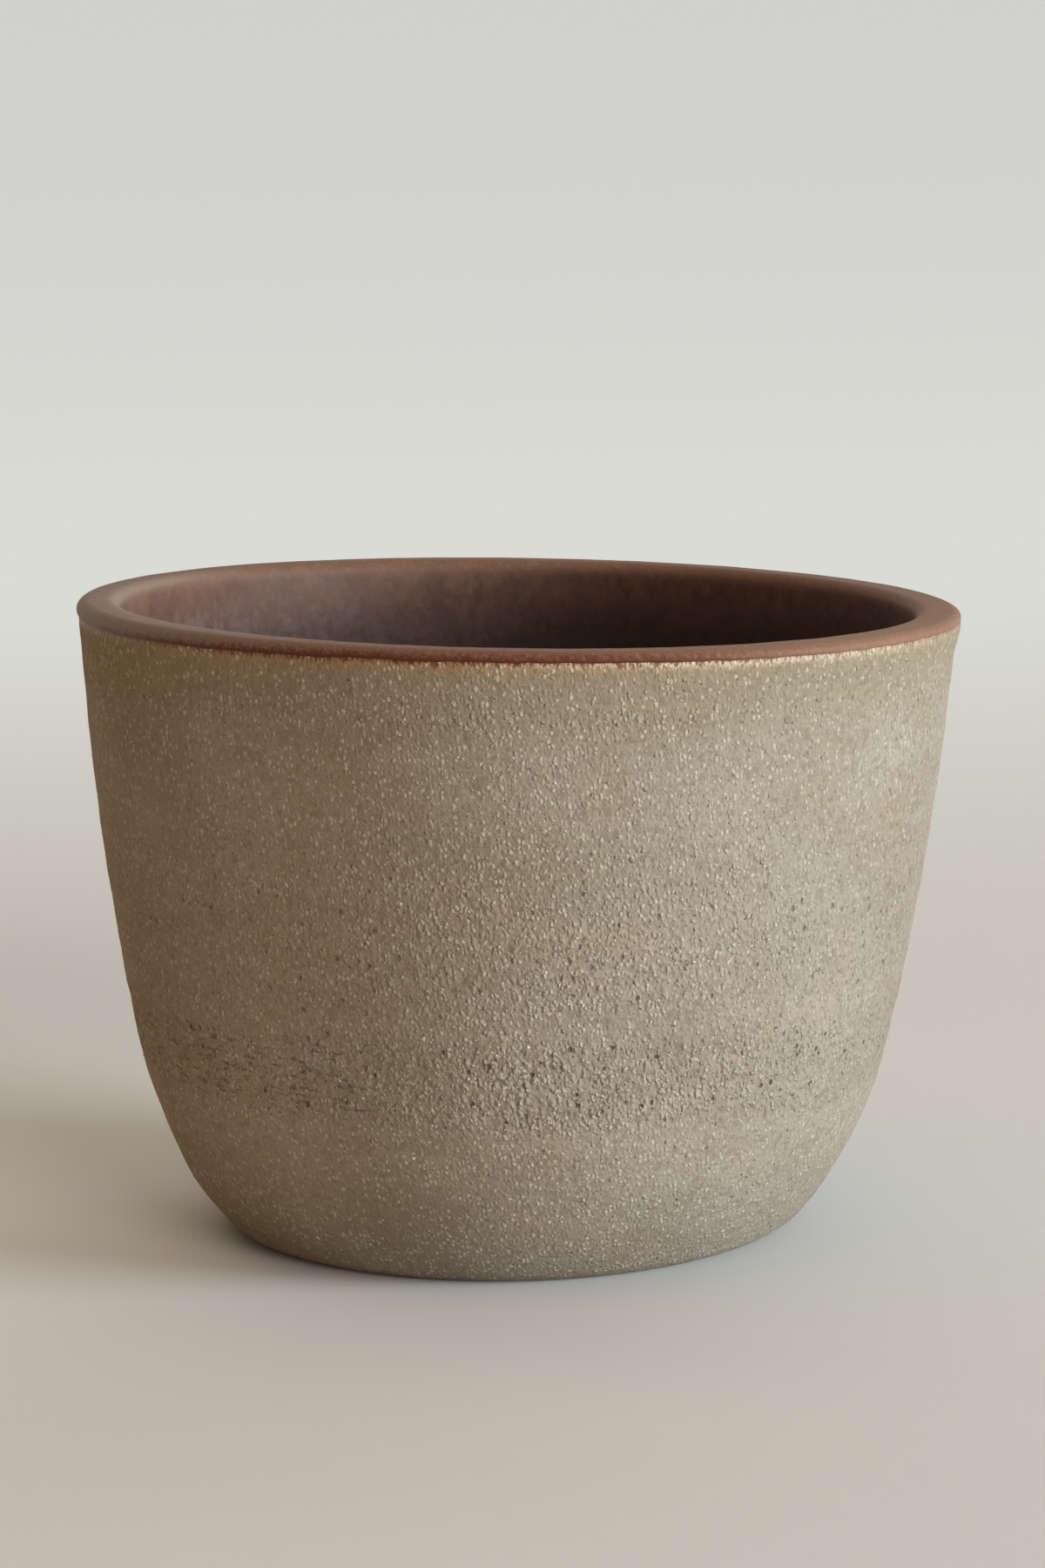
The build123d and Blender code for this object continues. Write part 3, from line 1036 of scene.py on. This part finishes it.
def glaze_finish(name):
    """The satin coat that both glazes share: brown inside the lip, clouding into near black further in,
    partly as the glaze's own colour and partly as painted shade deep in the cup, with a painted sheen of
    the window on one side.
    """
    f = Finish(name)
    cloud = f.noise(f.place, GLAZE_CLOUDS, 3.0, 0.55)
    mottle = f.noise(f.place, GLAZE_MOTTLE, 3.0, 0.6)
    drip = f.noise(f.scaled(1.0, 0.6), GLAZE_DRIPS, 4.0, 0.65)
    tone = f.mix(f.ramp(cloud, 0.3, 0.7), INNER_DARK, INNER)
    tone = f.mix(f.ramp(mottle, 0.4, 0.75, 0.0, 0.2), tone, LIP_PALE)
    # how far in the coat lies: further in it darkens, as the glaze's own colour and partly as painted shade
    deep_and_shaded = f.total(
        f.note("depth"),
        f.ramp(drip, 0.25, 0.75, -1.5, 1.5),
        f.ramp(mottle, 0.3, 0.7, -0.6, 0.6),
    )
    tone = f.mix(f.ramp(deep_and_shaded, -4.0, 4.0), tone, LINER_WARM)
    # painted sheen of the window on one side, in mottled streaks, where the coat is not too deep
    window_sheen = f.product(f.ramp(deep_and_shaded, -2.0, 2.0), f.ramp(deep_and_shaded, 9.0, 2.0))
    window_sheen = f.product(window_sheen, f.ramp(drip, 0.42, 0.62, 0.1, 0.75), f.note("window_sheen"))
    tone = f.mix(window_sheen, tone, WINDOW_SHEEN_TONE)
    tone = f.mix(f.ramp(deep_and_shaded, 0.0, 11.0), tone, LINER_DARK_AND_SHADE)
    gloss = f.ramp(mottle, 0.3, 0.7, 0.52, 0.64)
    normal = f.relief(GLAZE_RELIEF, f.total(f.product(mottle, 0.4), f.product(cloud, 0.8)))
    f.set(Base_Color=tone, Roughness=gloss, Specular_IOR_Level=GLAZE_SHEEN, Normal=normal)
    return f, tone, mottle, cloud


def lip_finish():
    """Thin satin glaze: terracotta, dry in patches, burnt dark red along one side's edge, with a painted
    sheen of the backdrop and a pale inner corner, partly a painted highlight, on another side.
    """
    f, inside, mottle, cloud = glaze_finish("lip_glaze_red_brown")
    dry = f.noise(f.place, DRY_GLAZE, 3.0, 0.6)
    burnt, backdrop_sheen = f.note("scorch"), f.note("backdrop_sheen")
    tone = f.mix(f.note("bright"), LIP_BROWN, LIP)
    tone = f.mix(f.ramp(cloud, 0.3, 0.7, 0.0, 0.35), tone, LIP_DARK)
    tone = f.mix(f.ramp(mottle, 0.4, 0.75, 0.0, 0.25), tone, LIP_PALE)
    tone = f.mix(f.product(burnt, 0.8), tone, LIP_BURNT)
    # painted sheen of the pale backdrop on one side
    tone = f.mix(f.product(backdrop_sheen, 0.75), tone, LIP_BACKDROP_SHEEN)
    tone = f.mix(f.ramp(dry, 0.5, 0.75, 0.0, 0.35), tone, LIP_PALE)
    tone = f.mix(f.ramp(dry, 0.5, 0.3, 0.0, 0.35), tone, LIP_DARK)
    tone = f.mix(f.note("inward"), tone, inside)
    # paler where the glaze breaks thin at the inner corner, on one side, partly a painted highlight
    thin = f.total(f.note("from_crest"), f.ramp(dry, 0.3, 0.7, -0.3, 0.3))
    thin = f.product(f.ramp(thin, 0.5, 0.0, 0.0, 0.4), f.ramp(backdrop_sheen, 0.0, 0.5))
    tone = f.mix(thin, tone, LIP_BREAK_HIGHLIGHT)
    gather = f.total(f.note("from_edge"), f.ramp(dry, 0.3, 0.7, -0.2, 0.2))
    gather = f.product(f.ramp(gather, 0.9, 0.15), f.ramp(burnt, 0.0, 0.65, 0.12, 1.0))
    f.set(Base_Color=f.mix(gather, tone, LIP_EDGE))
    return f.material


def liner_finish():
    """Satin dark glaze, mottled towards the top."""
    return glaze_finish("liner_glaze_dark")[0].material


# Stage, light and view, in metres
SWEEP_BACK = 0.85                  # where the floor starts to bend up, behind the cup
SWEEP_BEND = 0.40
SWEEP_BEND_STEPS = 40
SWEEP_WIDTH = 8.0
SWEEP_LENGTH = 6.0
SWEEP_TOP = 1.8
SWEEP_GLOW_START = (0.08, 0.62)    # where the floor behind the cup fades into an even pale
SWEEP_ROOM_START = (0.85, 1.2)     # where that takes the room's colour


def seen_rays(tree):
    """1 for the rays that the camera, mirrors and glass look along."""
    path = tree.nodes.new("ShaderNodeLightPath")
    seen = path.outputs["Is Camera Ray"]
    for kind in ("Is Glossy Ray", "Is Transmission Ray"):
        either = tree.nodes.new("ShaderNodeMath")
        either.operation = "MAXIMUM"
        tree.links.new(seen, either.inputs[0])
        tree.links.new(path.outputs[kind], either.inputs[1])
        seen = either.outputs[0]
    return seen


def paper_finish():
    """Plain pale floor that keeps the cup's shadow, fading far behind into an even pale backdrop."""
    f = Finish("pale_sweep")
    behind = f.add("ShaderNodeSeparateXYZ", {"Vector": f.place}).outputs["Y"]
    f.set(Base_Color=PAPER, Roughness=DULL, Specular_IOR_Level=PAPER_SHEEN)
    backdrop = f.mix(f.ramp(behind, *SWEEP_ROOM_START), PAPER_BEHIND, ROOM_PALE)
    glow = f.add("ShaderNodeEmission", {"Color": backdrop, "Strength": 1.0})
    far = f.product(f.ramp(behind, *SWEEP_GLOW_START), seen_rays(f.tree))
    blend = f.add("ShaderNodeMixShader", {0: far, 1: f.shader.outputs["BSDF"], 2: glow.outputs["Emission"]})
    f.tree.links.new(blend.outputs["Shader"], f.tree.nodes["Material Output"].inputs["Surface"])
    return f.material


def model_sweep():
    """A floor that bends up into the backdrop."""
    far = SWEEP_BACK + SWEEP_BEND
    bpy.ops.object.select_all(action="DESELECT")
    bpy.ops.mesh.primitive_plane_add(size=1)
    sweep = bpy.context.object
    sweep.name = sweep.data.name = "pale_sweep"
    bpy.ops.object.mode_set(mode="EDIT")
    bpy.ops.transform.resize(value=(SWEEP_WIDTH, SWEEP_LENGTH, 1))
    bpy.ops.transform.translate(value=(0, far - SWEEP_LENGTH / 2, 0))
    pick("EDGE", lambda edge: all(abs(v.co.y - far) < MM for v in edge.verts))
    bpy.ops.mesh.extrude_region_move(TRANSFORM_OT_translate={"value": (0, 0, SWEEP_TOP)})
    pick("EDGE", lambda edge: all(abs(v.co.y - far) < MM and abs(v.co.z) < MM for v in edge.verts))
    bpy.ops.mesh.bevel(offset=SWEEP_BEND, offset_type="OFFSET", segments=SWEEP_BEND_STEPS, affect="EDGES")
    bpy.ops.object.mode_set(mode="OBJECT")
    smooth(sweep)
    sweep.data.materials.append(paper_finish())


PANEL_DISTANCE = 2.4
WINDOW_SIZE = 1.05
CEILING_SIZE = 2.6
WINDOW_LIGHT = (0.86, 0.95, 1.0)
NEAR_WINDOW_LIGHT = (1.0, 0.85, 0.82)
CEILING_LIGHT = (1.0, 0.76, 0.46)
WARM_WALL_LIGHT = (1.0, 0.52, 0.26)


def add_panel(name, azimuth, elevation, power, colour, size):
    """A soft light panel that faces the cup, turned right of the view and up by angles in degrees."""
    lamp = bpy.data.lights.new(name, "AREA")
    lamp.shape = "SQUARE"
    lamp.size = size
    lamp.energy = power
    lamp.color = colour
    panel = bpy.data.objects.new(name, lamp)
    bpy.context.scene.collection.objects.link(panel)
    right, up = math.radians(azimuth), math.radians(elevation)
    level = PANEL_DISTANCE * math.cos(up)
    away = Vector((level * math.sin(right), -level * math.cos(right), PANEL_DISTANCE * math.sin(up)))
    panel.location = away + Vector((0, 0, HEIGHT / 2))
    panel.rotation_euler = (-away).to_track_quat("-Z", "Y").to_euler()


def light_scene():
    """A low window to the right, a second one nearer the view, and warm light from above and left."""
    add_panel("window", 70, 8, power=80.0, colour=WINDOW_LIGHT, size=WINDOW_SIZE)
    add_panel("near_window", 27, 16, power=21.0, colour=NEAR_WINDOW_LIGHT, size=WINDOW_SIZE)
    add_panel("ceiling", -90, 80, power=19.0, colour=CEILING_LIGHT, size=CEILING_SIZE)
    add_panel("warm_wall", -90, 8, power=4.6, colour=WARM_WALL_LIGHT, size=WINDOW_SIZE)


def light_room():
    """A dim warm room, which the camera and mirrors see as pale as the backdrop."""
    world = bpy.data.worlds.new("room")
    bpy.context.scene.world = world
    world.use_nodes = True
    tree = world.node_tree
    dim = tree.nodes["Background"]
    dim.inputs["Color"].default_value = ROOM_DIM
    dim.inputs["Strength"].default_value = ROOM_DIM_STRENGTH
    pale = tree.nodes.new("ShaderNodeBackground")
    pale.inputs["Color"].default_value = ROOM_PALE
    blend = tree.nodes.new("ShaderNodeMixShader")
    tree.links.new(seen_rays(tree), blend.inputs[0])
    tree.links.new(dim.outputs[0], blend.inputs[1])
    tree.links.new(pale.outputs[0], blend.inputs[2])
    tree.links.new(blend.outputs[0], tree.nodes["World Output"].inputs["Surface"])


CAMERA_PLACE = (-0.0004, -0.450, 0.1136)
CAMERA_LENS = 100.93    # millimetres, as is the sensor's width
CAMERA_SENSOR = 36.0
CAMERA_NEAREST = 0.01
CAMERA_DIP = math.radians(8.593)
CAMERA_YAW = math.radians(-0.332)
CAMERA_ROLL = math.radians(-1.055)


def add_camera():
    """The photograph's view: a little above the rim, from the front."""
    lens = bpy.data.cameras.new("view")
    lens.lens = CAMERA_LENS
    lens.sensor_width = CAMERA_SENSOR
    lens.clip_start = CAMERA_NEAREST
    camera = bpy.data.objects.new("view", lens)
    bpy.context.scene.collection.objects.link(camera)
    turn = Matrix.Rotation(CAMERA_YAW, 4, "Z") @ Matrix.Rotation(math.pi / 2 - CAMERA_DIP, 4, "X")
    camera.matrix_world = Matrix.Translation(CAMERA_PLACE) @ turn @ Matrix.Rotation(CAMERA_ROLL, 4, "Z")
    bpy.context.scene.camera = camera


def dress(piece, node, finish):
    """Gives a piece its finish, and lets it stand for its solid."""
    piece.data.materials.clear()
    piece.data.materials.append(finish)
    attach(piece, "root")
    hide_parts(node)


clay_body = model_clay_body()
dress(clay_body, "clay_body", stoneware_finish())
grog = grain_finish()
coarse_grog = model_grains("coarse_grog", clay_body, seed=23, size=COARSE_GRAIN, evenness=COARSE_EVENNESS)
dress(coarse_grog, "clay_body", grog)
fine_grog = model_grains("fine_grog", clay_body, seed=29, size=FINE_GRAIN, evenness=FINE_EVENNESS)
dress(fine_grog, "clay_body", grog)
dress(model_liner_glaze(), "liner_glaze", liner_finish())
dress(model_lip_glaze(), "lip_glaze", lip_finish())
model_sweep()
light_scene()
light_room()
add_camera()
bpy.context.scene.view_settings.view_transform = "Standard"
